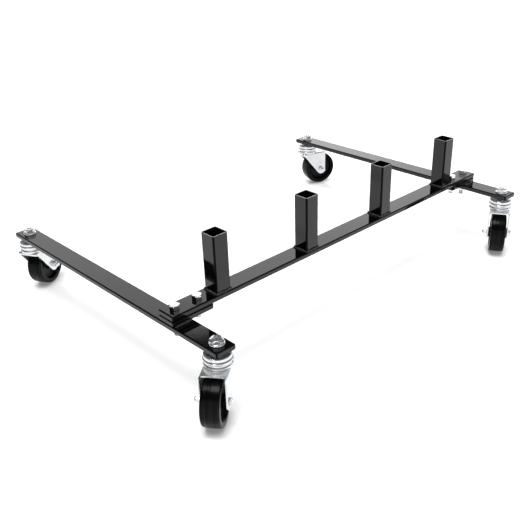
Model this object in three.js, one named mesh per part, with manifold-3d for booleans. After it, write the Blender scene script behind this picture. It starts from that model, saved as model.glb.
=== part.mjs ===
// Engine stand: two end arms joined by a bolted cross beam with four upright square sockets,
// rolling on four swivel stem casters.
//
// Millimetres, +Z up. X runs along the cross beam and Y along the arms, with the beam near the
// front (-Y) ends. The origin is at the floor, under the centre of the stand's bounding box.

import * as THREE from "three";
import { mergeVertices } from "three/addons/utils/BufferGeometryUtils.js";
import Module from "manifold-3d";

const wasm = await Module();
wasm.setup();

// ---- Driving dimensions ---------------------------------------------------------------------

const FIT_GAP = 0.3; // kept between faces that touch

// Flat bar, used for the arms, the brackets and the cross beam
const BAR_WIDTH = 40;
const BAR_THICKNESS = 10;
const BAR_CORNER = 3; // plan radius of a sawn and dressed end corner
const BAR_EDGE = 0.8; // rounding of the long edges

const BEAM_LENGTH = 884;
const ARM_LENGTH = 645;
const BEAM_INSET = 125; // front end of an arm to the beam's centre line
const BRACKET_LENGTH = 87;
const BRACKET_CORNER = 6;
const DECK_HEIGHT = 117.5; // floor to the underside of the arms

// Sockets
const SOCKET_COUNT = 4;
const SOCKET_PITCH = 220;
const SOCKET_SIZE = 31.75;
const SOCKET_WALL = 1.6;
const SOCKET_CORNER = 3.2;
const SOCKET_HEIGHT = 106.5;

// Joint bolts, M10 with 16 mm hexagons
const JOINT_BOLT = { radius: 5, hex: 16, head: 8, nut: 8 };
const BOLT_CHAMFER = 0.2; // by the shank's radius
const OUTER_BOLT = { place: "outer", inset: 20, length: 50, clampedFrom: DECK_HEIGHT };
const INNER_BOLT = { place: "inner", inset: 66, length: 35, clampedFrom: DECK_HEIGHT + BAR_THICKNESS };

// Caster stems, M12 with a flange nut above the arm
const STEM_RADIUS = 6;
const STEM_FRONT_INSET = 22;
const STEM_REAR_INSET = 26;
const STEM_TOP_RECESS = 1.4; // stem end below the top of its nut
const STEM_CHAMFER = 1.2;
const SHOULDER_HEX = 19;
const FLANGE_NUT = { hex: 20, height: 10, radius: 13, rim: 2.2, rimChamfer: 0.8, coneHeight: 3.6 };
const KINGPIN_RADIUS = 5;
const KINGPIN_HEAD = { radius: 8, height: 3, chamfer: 1.5 };

// Caster wheel
const WHEEL_RADIUS = 43.5;
const TREAD_HALF = 16;
const TREAD_EDGE = 12.6; // half width of the tread between its rounded shoulders
const TREAD_CROWN = 0.6; // the tread's edges are this much lower than its middle
const LIP_OUTER = 39.6;
const LIP_INNER = 33;
const RECESS_RADIUS = 31;
const WEB_HALF = 6;
const HUB_RADIUS = 11.5;
const HUB_HALF = 20.2;
const BUSH_RADIUS = 6;

// Caster swivel bearing: an upper cup, a ring of balls and a lower race ring
const CUP = { radius: 23.5, top: 112.2, bottom: 105.8, sheet: 3, edge: 2.5, wall: 2.5, slope: 3.5 };
const RACE = { radius: 25, bottom: 100.4, sheet: 2.2, edge: 1.5, track: 17.5, slope: 2, bore: 7.3 };
const BALL_TRACK_RADIUS = 13.2;

// Caster fork
const CASTER_TRAIL = 32.5; // swivel axis to axle, in plan
const FORK_TOP = 92.5;
const FORK_SHEET = 2.5;
const FORK_HALF_WIDTH = 23;
const FORK_FRONT = -22.5;
const FORK_REAR = 45.5;
const FORK_FRONT_CORNER = 5;
const FORK_REAR_CORNER = 1.5;
const REAR_LIP = 39; // rear edge of the top between the legs
const SKIRT_DEPTH = 6; // the top's front edge is turned down this far
const CROWN_RADIUS = 22.5;
const CROWN_NECK = 21;
const CROWN_PAD = { height: 2.6, corner: 12 }; // square step that the round crown rises from
const LEG_TIP_RADIUS = 14;
const LEG_TIP_STEPS = 8;
const LEG_KNEE = { x: -19.5, z: 84.5 }; // where a leg's sloping front edge starts
const LEG_REAR_BEND = 4; // cut off a leg's top rear corner

// Axle bolt, M8, with its nut at -Y
const AXLE = { radius: 4, hex: 13, head: 5.3, nut: 6.5 };
const AXLE_END = 34; // centre of the wheel to the thread's end

const RUNNING_GAP = 0.3; // radial, between parts that turn on each other

// Hexagon heads and nuts: the flat end face's radius by the width across flats, and the corners' slope
const HEX_FACE = 0.48;
const HEX_SLOPE = 0.6;

// Facets in a full turn
const FINE = 28;
const MEDIUM = 24;
const COARSE = 18;
const HOLE_STEPS = 12; // around a bolt or its hole

// Corners of the stand. A caster's heading is the plan angle in which its wheel trails.
const CORNERS = [
  { name: "front_left", side: -1, end: -1, heading: -143.6 },
  { name: "rear_left", side: -1, end: 1, heading: 29.5 },
  { name: "rear_right", side: 1, end: 1, heading: -21.3 },
  { name: "front_right", side: 1, end: -1, heading: -149.2 },
];

// ---- Levels and places worked out from the above ----------------------------------------------

const ARM_TOP = DECK_HEIGHT + BAR_THICKNESS;
const BRACKET_TOP = ARM_TOP + BAR_THICKNESS;
const BEAM_TOP = BRACKET_TOP + BAR_THICKNESS;
const BEAM_Y = -ARM_LENGTH / 2 + BEAM_INSET;
const ARM_X = (BEAM_LENGTH - BAR_WIDTH) / 2;
const RACE_TOP = CUP.bottom - FIT_GAP;
const CUP_ROOF = CUP.top - CUP.sheet; // the balls run between the cup's roof
const RACE_FLOOR = RACE.bottom + RACE.sheet; // and the race's floor
const CROWN_TOP = RACE.bottom - FIT_GAP;

// ---- Materials ----------------------------------------------------------------------------------

const blackPaint = new THREE.MeshStandardMaterial({ color: 0x0d0d0e, roughness: 0.22, metalness: 0.1 });
const brightZinc = new THREE.MeshStandardMaterial({ color: 0xd3d6d8, roughness: 0.3, metalness: 1 });
const blackTyre = new THREE.MeshStandardMaterial({ color: 0x141414, roughness: 0.5, metalness: 0 });
const bearingSteel = new THREE.MeshStandardMaterial({ color: 0x8d9093, roughness: 0.35, metalness: 1 });

// ---- Solid helpers --------------------------------------------------------------------------------

/** A closed geometry as a manifold solid, with its shared corners merged. */
function toSolid(geometry) {
  const bare = geometry.clone();
  bare.deleteAttribute("normal");
  bare.deleteAttribute("uv");
  const merged = mergeVertices(bare);
  const vertProperties = new Float32Array(merged.attributes.position.array);
  const triVerts = new Uint32Array(merged.index.array);
  return new wasm.Manifold(new wasm.Mesh({ numProp: 3, vertProperties, triVerts }));
}

function toGeometry(solid) {
  const { vertProperties, triVerts } = solid.getMesh();
  const geometry = new THREE.BufferGeometry();
  geometry.setAttribute("position", new THREE.BufferAttribute(vertProperties, 3));
  geometry.setIndex(new THREE.BufferAttribute(triVerts, 1));
  return geometry;
}

function join(first, ...others) {
  return toGeometry(others.reduce((body, other) => body.add(toSolid(other)), toSolid(first)));
}

function cut(body, ...tools) {
  return toGeometry(tools.reduce((rest, tool) => rest.subtract(toSolid(tool)), toSolid(body)));
}

function intersect(first, second) {
  return toGeometry(toSolid(first).intersect(toSolid(second)));
}

/** Turns an outline of (radius, height) about the Z axis. It runs anticlockwise, from low to high outside. */
function revolve(outline, segments, curveSteps = 2) {
  const points = outline.getPoints(curveSteps);
  return new THREE.LatheGeometry(points, segments).rotateX(Math.PI / 2);
}

/** An upright ring or, with no inner radius, a disc, between two heights. */
function ring(inner, outer, bottom, top, segments) {
  const outline = new THREE.Path();
  outline.moveTo(inner, bottom);
  outline.lineTo(outer, bottom);
  outline.lineTo(outer, top);
  outline.lineTo(inner, top);
  if (inner > 0) outline.lineTo(inner, bottom);
  return revolve(outline, segments);
}

/** A hexagonal prism by its width across flats, with its corners turned off at the ends asked for. */
function hexPrism(acrossFlats, bottom, top, chamferTop = true, chamferBottom = false) {
  const cornerRadius = acrossFlats / Math.sqrt(3);
  const prism = new THREE.CylinderGeometry(cornerRadius, cornerRadius, top - bottom, 6);
  prism.rotateX(Math.PI / 2).translate(0, 0, (bottom + top) / 2);

  const clearRadius = cornerRadius + 0.01;
  const faceRadius = acrossFlats * HEX_FACE;
  const slope = (cornerRadius - faceRadius) * HEX_SLOPE;
  const outline = new THREE.Path();
  outline.moveTo(0, bottom);
  outline.lineTo(chamferBottom ? faceRadius : clearRadius, bottom);
  if (chamferBottom) outline.lineTo(clearRadius, bottom + slope);
  if (chamferTop) outline.lineTo(clearRadius, top - slope);
  outline.lineTo(chamferTop ? faceRadius : clearRadius, top);
  outline.lineTo(0, top);
  return intersect(prism, revolve(outline, HOLE_STEPS));
}

/** Points along an arc from one angle to another, both ends included. */
function arcPoints(x, y, radius, start, end, steps) {
  return new THREE.EllipseCurve(x, y, radius, radius, start, end, end < start).getPoints(steps);
}

/** A drilled hole, as a path that runs clockwise. */
function roundHole(x, y, radius, steps = HOLE_STEPS) {
  return new THREE.Path(arcPoints(x, y, radius, Math.PI * 2, 0, steps).slice(1));
}

/** A rectangle centred on the origin in plan, with its own radius for the two corners at each end. */
function roundedPlate(length, width, leftRadius, rightRadius, cornerSteps = 3) {
  const corners = [
    { x: 1, y: -1, radius: rightRadius, start: -Math.PI / 2 },
    { x: 1, y: 1, radius: rightRadius, start: 0 },
    { x: -1, y: 1, radius: leftRadius, start: Math.PI / 2 },
    { x: -1, y: -1, radius: leftRadius, start: Math.PI },
  ];
  const points = corners.flatMap(({ x, y, radius, start }) => {
    const centreX = x * (length / 2 - radius);
    const centreY = y * (width / 2 - radius);
    return arcPoints(centreX, centreY, radius, start, start + Math.PI / 2, cornerSteps);
  });
  return new THREE.Shape(points);
}

/** A flat bar from one height to another, drilled at the given plan positions. */
function flatBar(shape, holes, bottom, top) {
  for (const { x, y, radius } of holes) {
    shape.holes.push(roundHole(x, y, radius));
  }
  const bar = new THREE.ExtrudeGeometry(shape, {
    depth: top - bottom - 2 * BAR_EDGE,
    bevelThickness: BAR_EDGE,
    bevelSize: BAR_EDGE,
    bevelOffset: -BAR_EDGE,
    bevelSegments: 1,
  });
  return bar.translate(0, 0, bottom + BAR_EDGE);
}

// ---- Assembly ---------------------------------------------------------------------------------------

const stand = new THREE.Group();

function addPart(parent, name, geometry, material, x = 0, y = 0, z = 0) {
  const mesh = new THREE.Mesh(geometry, material);
  mesh.name = name;
  mesh.position.set(x, y, z);
  parent.add(mesh);
}

// ---- Frame ------------------------------------------------------------------------------------------

/** An arm lies along Y. Its two stem holes are near its ends, and its bolt hole is under the beam. */
function armGeometry() {
  const shape = roundedPlate(ARM_LENGTH, BAR_WIDTH, BAR_CORNER, BAR_CORNER);
  const holes = [
    { x: -ARM_LENGTH / 2 + STEM_FRONT_INSET, y: 0, radius: STEM_RADIUS + FIT_GAP },
    { x: -ARM_LENGTH / 2 + BEAM_INSET, y: 0, radius: JOINT_BOLT.radius + FIT_GAP },
    { x: ARM_LENGTH / 2 - STEM_REAR_INSET, y: 0, radius: STEM_RADIUS + FIT_GAP },
  ];
  return flatBar(shape, holes, DECK_HEIGHT, ARM_TOP).rotateZ(Math.PI / 2);
}

/** Both joint bolts' plan positions, measured from the outer end of a bar whose centre is at x = 0. */
function boltHoles(halfLength, side) {
  return [OUTER_BOLT, INNER_BOLT].map(({ inset }) => ({
    x: side * (halfLength - inset),
    y: 0,
    radius: JOINT_BOLT.radius + FIT_GAP,
  }));
}

/** A bracket plate lies along X on an arm, with its outer end flush and its inner end overhanging. */
function bracketGeometry(side) {
  const leftRadius = side < 0 ? BAR_CORNER : BRACKET_CORNER;
  const rightRadius = side < 0 ? BRACKET_CORNER : BAR_CORNER;
  const shape = roundedPlate(BRACKET_LENGTH, BAR_WIDTH, leftRadius, rightRadius);
  return flatBar(shape, boltHoles(BRACKET_LENGTH / 2, side), ARM_TOP + FIT_GAP, BRACKET_TOP);
}

function beamGeometry() {
  const shape = roundedPlate(BEAM_LENGTH, BAR_WIDTH, BAR_CORNER, BAR_CORNER);
  const holes = [-1, 1].flatMap((side) => boltHoles(BEAM_LENGTH / 2, side));
  return flatBar(shape, holes, BRACKET_TOP + FIT_GAP, BEAM_TOP);
}

/** A socket is a length of square tube, open at the top. */
function socketGeometry() {
  const shape = roundedPlate(SOCKET_SIZE, SOCKET_SIZE, SOCKET_CORNER, SOCKET_CORNER);
  const inside = SOCKET_SIZE - 2 * SOCKET_WALL;
  const insideCorner = SOCKET_CORNER - SOCKET_WALL;
  shape.holes.push(roundedPlate(inside, inside, insideCorner, insideCorner));
  const depth = SOCKET_HEIGHT - FIT_GAP;
  return new THREE.ExtrudeGeometry(shape, { depth, bevelEnabled: false });
}

function addFrame() {
  addPart(stand, "cross_beam", beamGeometry(), blackPaint, 0, BEAM_Y);
  for (const [hand, side] of [["left", -1], ["right", 1]]) {
    const bracketX = side * (BEAM_LENGTH - BRACKET_LENGTH) / 2;
    addPart(stand, `arm_${hand}`, armGeometry(), blackPaint, side * ARM_X, 0);
    addPart(stand, `bracket_${hand}`, bracketGeometry(side), blackPaint, bracketX, BEAM_Y);
  }
  for (let i = 0; i < SOCKET_COUNT; i += 1) {
    const x = (i - (SOCKET_COUNT - 1) / 2) * SOCKET_PITCH;
    addPart(stand, `socket_${i + 1}`, socketGeometry(), blackPaint, x, BEAM_Y, BEAM_TOP + FIT_GAP);
  }
}

// ---- Joint bolts --------------------------------------------------------------------------------------

/** A hexagon bolt that hangs down from z = 0 under its head, with a chamfered end. */
function boltGeometry({ radius, hex, head }, length) {
  const chamfer = radius * BOLT_CHAMFER;
  const shank = new THREE.Path();
  shank.moveTo(0, -length);
  shank.lineTo(radius - chamfer, -length);
  shank.lineTo(radius, -length + chamfer);
  shank.lineTo(radius, head / 2);
  shank.lineTo(0, head / 2);
  return join(hexPrism(hex, 0, head), revolve(shank, HOLE_STEPS));
}

/** A hexagon nut that stands on z = 0. */
function nutGeometry({ radius, hex, nut }) {
  return cut(hexPrism(hex, 0, nut, true, true), ring(0, radius + FIT_GAP, -1, nut + 1, HOLE_STEPS));
}

/** Each end of the beam has an outer bolt down into the arm and an inner one into the overhang. */
function addJointBolts() {
  const headSeat = BEAM_TOP + FIT_GAP;
  for (const [hand, side] of [["left", -1], ["right", 1]]) {
    for (const { place, inset, length, clampedFrom } of [OUTER_BOLT, INNER_BOLT]) {
      const x = side * (BEAM_LENGTH / 2 - inset);
      const nutBottom = clampedFrom - FIT_GAP - JOINT_BOLT.nut;
      addPart(stand, `bolt_${hand}_${place}`, boltGeometry(JOINT_BOLT, length), brightZinc, x, BEAM_Y, headSeat);
      addPart(stand, `nut_${hand}_${place}`, nutGeometry(JOINT_BOLT), brightZinc, x, BEAM_Y, nutBottom);
    }
  }
}

// ---- Caster -------------------------------------------------------------------------------------------
// In a caster's own frame the swivel axis is Z, the floor is z = 0, the wheel trails towards +X
// and the axle lies along Y.

/** Kingpin head, kingpin, hexagon shoulder and threaded stem, in one turned and forged piece. */
function stemGeometry() {
  const stemTop = ARM_TOP + FIT_GAP + FLANGE_NUT.height - STEM_TOP_RECESS;
  const headTop = FORK_TOP - FORK_SHEET - RUNNING_GAP;
  const headBottom = headTop - KINGPIN_HEAD.height;
  const kingpinTop = CUP.top + 1;
  const pin = new THREE.Path();
  pin.moveTo(0, headBottom);
  pin.lineTo(KINGPIN_HEAD.radius - KINGPIN_HEAD.chamfer, headBottom);
  pin.lineTo(KINGPIN_HEAD.radius, headBottom + KINGPIN_HEAD.chamfer);
  pin.lineTo(KINGPIN_HEAD.radius, headTop);
  pin.lineTo(KINGPIN_RADIUS, headTop);
  pin.lineTo(KINGPIN_RADIUS, kingpinTop);
  pin.lineTo(STEM_RADIUS, kingpinTop);
  pin.lineTo(STEM_RADIUS, stemTop - STEM_CHAMFER);
  pin.lineTo(STEM_RADIUS - STEM_CHAMFER, stemTop);
  pin.lineTo(0, stemTop);
  const shoulder = hexPrism(SHOULDER_HEX, CUP.top + FIT_GAP, DECK_HEIGHT - FIT_GAP, false, true);
  return join(shoulder, revolve(pin, HOLE_STEPS));
}

/** Hexagon nut with a washer flange that slopes up to the hexagon. */
function flangeNutGeometry() {
  const { hex, height, radius, rim, rimChamfer, coneHeight } = FLANGE_NUT;
  const flange = new THREE.Path();
  flange.moveTo(0, 0);
  flange.lineTo(radius - rimChamfer, 0);
  flange.lineTo(radius, rimChamfer);
  flange.lineTo(radius, rim - rimChamfer);
  flange.lineTo(hex / 2, coneHeight);
  flange.lineTo(0, coneHeight);
  const body = join(hexPrism(hex, rimChamfer, height), revolve(flange, COARSE));
  return cut(body, ring(0, STEM_RADIUS + FIT_GAP, -1, height + 1, HOLE_STEPS));
}

/** Pressed upper cup: a flat top with a rounded rim, hollow below for the balls. */
function topCupGeometry() {
  const { radius, top, bottom, edge, wall, slope } = CUP;
  const bore = KINGPIN_RADIUS + FIT_GAP;
  const cup = new THREE.Path();
  cup.moveTo(bore, CUP_ROOF);
  cup.lineTo(radius - wall - slope, CUP_ROOF);
  cup.lineTo(radius - wall, bottom);
  cup.lineTo(radius, bottom);
  cup.lineTo(radius, top - edge);
  cup.quadraticCurveTo(radius, top, radius - edge, top);
  cup.lineTo(bore, top);
  cup.lineTo(bore, CUP_ROOF);
  return revolve(cup, MEDIUM);
}

/** The ring of balls that the cup rolls on, as one ring with a rounded section. */
function ballRingGeometry() {
  const middle = (CUP_ROOF + RACE_FLOOR) / 2;
  const ballRadius = (CUP_ROOF - RACE_FLOOR) / 2 - FIT_GAP;
  const section = new THREE.Path();
  section.absarc(BALL_TRACK_RADIUS, middle, ballRadius, 0, Math.PI * 2);
  return revolve(section, COARSE, 3);
}

/** Lower race ring with a rolled outer edge, carried on the fork's crown. */
function raceRingGeometry() {
  const { radius, bottom, edge, track, slope, bore } = RACE;
  const middle = (bottom + RACE_TOP) / 2;
  const race = new THREE.Path();
  race.moveTo(bore, bottom);
  race.lineTo(radius - edge, bottom);
  race.quadraticCurveTo(radius, bottom, radius, middle);
  race.quadraticCurveTo(radius, RACE_TOP, radius - edge, RACE_TOP);
  race.lineTo(track, RACE_TOP);
  race.lineTo(track - slope, RACE_FLOOR);
  race.lineTo(bore, RACE_FLOOR);
  race.lineTo(bore, bottom);
  return revolve(race, MEDIUM);
}

/** Side view of a fork leg: a long sloping front edge, a round tip at the axle and an upright rear edge. */
function legShape() {
  const toKnee = new THREE.Vector2(LEG_KNEE.x - CASTER_TRAIL, LEG_KNEE.z - WHEEL_RADIUS);
  const frontAngle = toKnee.angle() + Math.acos(LEG_TIP_RADIUS / toKnee.length());
  const rearAngle = Math.PI * 2 - Math.acos((FORK_REAR - CASTER_TRAIL) / LEG_TIP_RADIUS);
  const top = FORK_TOP - FORK_SHEET / 2;
  const shape = new THREE.Shape([
    new THREE.Vector2(LEG_KNEE.x, top),
    new THREE.Vector2(LEG_KNEE.x, LEG_KNEE.z),
    ...arcPoints(CASTER_TRAIL, WHEEL_RADIUS, LEG_TIP_RADIUS, frontAngle, rearAngle, LEG_TIP_STEPS),
    new THREE.Vector2(FORK_REAR, FORK_TOP - LEG_REAR_BEND),
    new THREE.Vector2(FORK_REAR - LEG_REAR_BEND, top),
  ]);
  shape.holes.push(roundHole(CASTER_TRAIL, WHEEL_RADIUS, AXLE.radius + FIT_GAP));
  return shape;
}

/** The fork's top with its turned-down front edge, open below and behind. */
function forkTopGeometry() {
  const length = FORK_REAR - LEG_REAR_BEND - FORK_FRONT;
  const middle = FORK_FRONT + length / 2;
  const width = 2 * FORK_HALF_WIDTH;
  const flat = { bevelEnabled: false };
  const outside = roundedPlate(length, width, FORK_FRONT_CORNER, FORK_REAR_CORNER);
  const block = new THREE.ExtrudeGeometry(outside, { ...flat, depth: SKIRT_DEPTH });
  block.translate(middle, 0, FORK_TOP - SKIRT_DEPTH);

  const insideCorner = FORK_FRONT_CORNER - FORK_SHEET;
  const inside = roundedPlate(length, width - 2 * FORK_SHEET, insideCorner, insideCorner);
  const hollow = new THREE.ExtrudeGeometry(inside, { ...flat, depth: SKIRT_DEPTH });
  hollow.translate(middle + FORK_SHEET, 0, FORK_TOP - FORK_SHEET - SKIRT_DEPTH);

  const cutLength = FORK_REAR - REAR_LIP;
  const rearCut = new THREE.BoxGeometry(cutLength, width - 2 * FORK_SHEET, 2 * SKIRT_DEPTH);
  rearCut.translate(REAR_LIP + cutLength / 2, 0, FORK_TOP);
  return cut(block, hollow, rearCut);
}

/** The round crown that carries the race, on a low square step. */
function crownGeometry() {
  const { height, corner } = CROWN_PAD;
  const base = FORK_TOP - FORK_SHEET / 2;
  const pad = new THREE.ExtrudeGeometry(
    roundedPlate(2 * CROWN_RADIUS, 2 * FORK_HALF_WIDTH, corner, corner),
    { depth: height + FORK_SHEET / 2, bevelEnabled: false },
  );
  pad.translate(0, 0, base);
  const crown = new THREE.Path();
  crown.moveTo(0, base);
  crown.lineTo(CROWN_RADIUS, base);
  crown.quadraticCurveTo(CROWN_NECK, FORK_TOP + height, CROWN_NECK, (FORK_TOP + height + CROWN_TOP) / 2);
  crown.lineTo(CROWN_RADIUS, CROWN_TOP);
  crown.lineTo(0, CROWN_TOP);
  return join(pad, revolve(crown, MEDIUM));
}

/** Pressed fork: a top with a turned-down front edge, a crown under the race and two legs. */
function forkGeometry() {
  const legs = [-1, 1].map((side) => {
    const leg = new THREE.ExtrudeGeometry(legShape(), { depth: FORK_SHEET, bevelEnabled: false });
    const outerFace = side > 0 ? FORK_HALF_WIDTH : -FORK_HALF_WIDTH + FORK_SHEET;
    return leg.rotateX(Math.PI / 2).translate(0, outerFace, 0);
  });
  const pinHole = ring(0, KINGPIN_RADIUS + RUNNING_GAP, FORK_TOP - SKIRT_DEPTH, CROWN_TOP + 1, HOLE_STEPS);
  return cut(join(forkTopGeometry(), crownGeometry(), ...legs), pinHole);
}

/** Axle bolt along Y, with its head at +Y. */
function axleBoltGeometry() {
  const headSeat = FORK_HALF_WIDTH + FIT_GAP;
  return boltGeometry(AXLE, AXLE_END + headSeat).rotateX(-Math.PI / 2).translate(0, headSeat, 0);
}

function axleNutGeometry() {
  return nutGeometry(AXLE).rotateX(Math.PI / 2).translate(0, -FORK_HALF_WIDTH - FIT_GAP, 0);
}

/** Steel spacer that the fork clamps and the wheel turns on. */
function hubBushGeometry() {
  const half = FORK_HALF_WIDTH - FORK_SHEET - FIT_GAP;
  return ring(AXLE.radius + FIT_GAP, BUSH_RADIUS, -half, half, HOLE_STEPS).rotateX(Math.PI / 2);
}

/** Moulded wheel with a crowned tread, rounded shoulders, recessed sides and a long hub. */
function wheelGeometry() {
  const bore = BUSH_RADIUS + RUNNING_GAP;
  const hubFace = HUB_HALF - RUNNING_GAP;
  const edgeRadius = WHEEL_RADIUS - TREAD_CROWN;
  const outline = new THREE.Path();
  outline.moveTo(bore, -hubFace);
  outline.lineTo(HUB_RADIUS, -hubFace);
  outline.lineTo(HUB_RADIUS + 1, -WEB_HALF);
  outline.lineTo(RECESS_RADIUS, -WEB_HALF);
  outline.lineTo(LIP_INNER, -TREAD_HALF);
  outline.lineTo(LIP_OUTER, -TREAD_HALF);
  outline.quadraticCurveTo(edgeRadius, -TREAD_HALF, edgeRadius, -TREAD_EDGE);
  outline.quadraticCurveTo(WHEEL_RADIUS + TREAD_CROWN, 0, edgeRadius, TREAD_EDGE);
  outline.quadraticCurveTo(edgeRadius, TREAD_HALF, LIP_OUTER, TREAD_HALF);
  outline.lineTo(LIP_INNER, TREAD_HALF);
  outline.lineTo(RECESS_RADIUS, WEB_HALF);
  outline.lineTo(HUB_RADIUS + 1, WEB_HALF);
  outline.lineTo(HUB_RADIUS, hubFace);
  outline.lineTo(bore, hubFace);
  outline.lineTo(bore, -hubFace);
  return new THREE.LatheGeometry(outline.getPoints(2), FINE);
}

function addCaster({ name, side, end, heading }) {
  const inset = end < 0 ? STEM_FRONT_INSET : STEM_REAR_INSET;
  const mount = new THREE.Group();
  mount.position.set(side * ARM_X, end * (ARM_LENGTH / 2 - inset), 0);
  stand.add(mount);
  addPart(mount, `flange_nut_${name}`, flangeNutGeometry(), brightZinc, 0, 0, ARM_TOP + FIT_GAP);
  addPart(mount, `stem_${name}`, stemGeometry(), brightZinc);
  addPart(mount, `top_cup_${name}`, topCupGeometry(), brightZinc);

  const swivel = new THREE.Group();
  swivel.rotation.z = THREE.MathUtils.degToRad(heading);
  mount.add(swivel);
  addPart(swivel, `ball_ring_${name}`, ballRingGeometry(), bearingSteel);
  addPart(swivel, `race_ring_${name}`, raceRingGeometry(), brightZinc);
  addPart(swivel, `fork_${name}`, forkGeometry(), brightZinc);

  const axle = [CASTER_TRAIL, 0, WHEEL_RADIUS];
  addPart(swivel, `axle_bolt_${name}`, axleBoltGeometry(), brightZinc, ...axle);
  addPart(swivel, `axle_nut_${name}`, axleNutGeometry(), brightZinc, ...axle);
  addPart(swivel, `hub_bush_${name}`, hubBushGeometry(), bearingSteel, ...axle);
  addPart(swivel, `wheel_${name}`, wheelGeometry(), blackTyre, ...axle);
}

addFrame();
addJointBolts();
CORNERS.forEach(addCaster);

// The origin goes under the centre of the whole stand, casters as they stand.
const middle = new THREE.Box3().setFromObject(stand, true).getCenter(new THREE.Vector3());
stand.position.set(-middle.x, -middle.y, 0);

export default stand;
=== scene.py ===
"""Visual model of the engine stand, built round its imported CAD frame.

Lengths in this file are millimetres, and every mesh is scaled to metres as it is made. X runs along the
cross beam, Y along the arms and Z up, as in the frame.
"""

import math
import random

import bmesh
import bpy
from mathutils import Matrix, Vector


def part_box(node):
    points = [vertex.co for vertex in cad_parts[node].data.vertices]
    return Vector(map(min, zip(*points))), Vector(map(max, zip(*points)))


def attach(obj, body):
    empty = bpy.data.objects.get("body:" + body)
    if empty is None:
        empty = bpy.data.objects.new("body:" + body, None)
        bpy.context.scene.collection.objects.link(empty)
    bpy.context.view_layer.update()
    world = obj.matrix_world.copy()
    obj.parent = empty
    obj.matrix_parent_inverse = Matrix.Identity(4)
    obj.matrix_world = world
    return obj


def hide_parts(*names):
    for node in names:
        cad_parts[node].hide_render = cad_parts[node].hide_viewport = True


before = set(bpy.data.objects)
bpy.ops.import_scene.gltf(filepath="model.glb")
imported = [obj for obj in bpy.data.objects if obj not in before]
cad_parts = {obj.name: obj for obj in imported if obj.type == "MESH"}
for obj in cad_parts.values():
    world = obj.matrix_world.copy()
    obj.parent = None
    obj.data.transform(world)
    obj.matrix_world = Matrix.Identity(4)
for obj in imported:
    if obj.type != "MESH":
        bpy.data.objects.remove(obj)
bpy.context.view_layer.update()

MM = 0.001
CORNERS = ("front_left", "rear_left", "rear_right", "front_right")

# ---- Places and sizes read from the frame ----------------------------------------------------------


class Box:
    """A CAD node's box in millimetres."""

    def __init__(self, node):
        self.low, self.high = (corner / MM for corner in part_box(node))
        self.mid = (self.low + self.high) / 2
        self.size = self.high - self.low


BEAM = Box("cross_beam")
ARMS = {hand: Box(f"arm_{hand}") for hand in ("left", "right")}
BRACKETS = {hand: Box(f"bracket_{hand}") for hand in ("left", "right")}
DECK = ARMS["left"].low.z
ARM_TOP = ARMS["left"].high.z

# ---- Sizes -----------------------------------------------------------------------------------------

BAR_CORNER = 3
BRACKET_CORNER = 6
BAR_EDGE = 2.3

SOCKET_WALL = 1.6
SOCKET_CORNER = 3.2
SOCKET_INNER_CORNER = 1.6
RIM_EDGE = 0.2

WELD_RADIUS = 2.9
WELD_STANDOFF = 0.4
WELD_INSET = 3
WELD_RIPPLE = 3.1
WELD_STEP = 0.45  # between the rings of a bead's mesh

JOINT_HEX = 16
JOINT_WASHER_FACE = JOINT_HEX * 0.47
JOINT_RADIUS = 5
JOINT_PITCH = 1.5

STEM_RADIUS = 6
STEM_PITCH = 1.75
STEM_TOP_RECESS = 1.4
SHOULDER_HEX = 19
KINGPIN_RADIUS = 5
NUT_HEX = 20
NUT_HEIGHT = 10
NUT_MOUTH = 4.2

TRAIL = 32.5
WHEEL_RADIUS = 43.5
TREAD_HALF = 16
TREAD_EDGE = 12.6
TREAD_CROWN = 0.6
LIP_OUTER = 39.6
HUB_FACE = 19.9
FORK_SHEET = 2.5
FORK_HALF_WIDTH = 23
FORK_FRONT = -22.5
FORK_REAR = 45.5
FORK_TOP = 92.5
FORK_REAR_LIP = 39
FORK_BEND = 3.4
FORK_INNER_BEND = 1.2
FORK_SHARP = 0.1
FORK_PAD = (44.5, 42.5)
FORK_PAD_TOP = 95.1
FORK_BURR = 0.4
LEG_BOTTOM = 24
SKIRT_BOTTOM = 86.5
LEG_TIP_RADIUS = 14
KNEE_SETBACK = 3.5
KNEE_RADIUS = 9
CROWN_TOP = 100.1

CUP_TOP = 112.2
CUP_BOTTOM = 106.2
CUP_ROOF = 109.2
RACE_BOTTOM = 100.4
RACE_TOP = 104.8
RACE_FLOOR = 102.6
BALL_TRACK_RADIUS = 13.2
BALL_COUNT = 13

AXLE_RADIUS = 4
AXLE_PITCH = 1.25
AXLE_HEX = 13
AXLE_HEAD = 5.3
AXLE_END = -34
AXLE_NUT_HEIGHT = 6.5
BUSH_RADIUS = 6

GAP = 0.3  # left between neighbouring parts, as in the frame
THREAD_FIT = 0.05
TURN = 96  # steps round a turned part

# ---- Studio: bearings in degrees from +Y toward +X, heights in degrees above level -----------------

FLOOR_HEIGHT = -0.4
FLOOR_RADII = (200, 2000, 14000)
FLOOR_PALE = (0.9, 0.9, 0.9, 1)
# Colour that the floor is painted towards under the parts: painted contact shadow
FLOOR_PAINTED_SHADOW = (0.28, 0.25, 0.24, 1)
FLOOR_GLOW = 0.6
CONTACT_REACH = 18  # how far round a wheel its painted contact shadow spreads
ROOM_DARK = 0.05
STUDIO_LIGHTS = (  # radiance, bearings, heights, softness of the sides, softness of the top
    (0.95, None, (-95, 8), 5, 2.0),  # pale sweep, all round and below
    (1.3, (8, 82), (8, 32.4), 6, 0.6),  # lit wall behind the stand
    (0.3, (36, 60), (-5, 30), 6, 2.0),  # its brighter middle
    (0.6, (40, 54), (2, 22), 4, 3.0),  # and the hot spot in that
    (0.9, (95, 190), (8, 33), 6, 4.0),  # wall in front, to the right
    (0.9, (-190, -95), (8, 33), 6, 4.0),  # wall in front, to the left
    (0.25, None, (62, 95), 5, 3.0),  # dim ceiling
)
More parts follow.
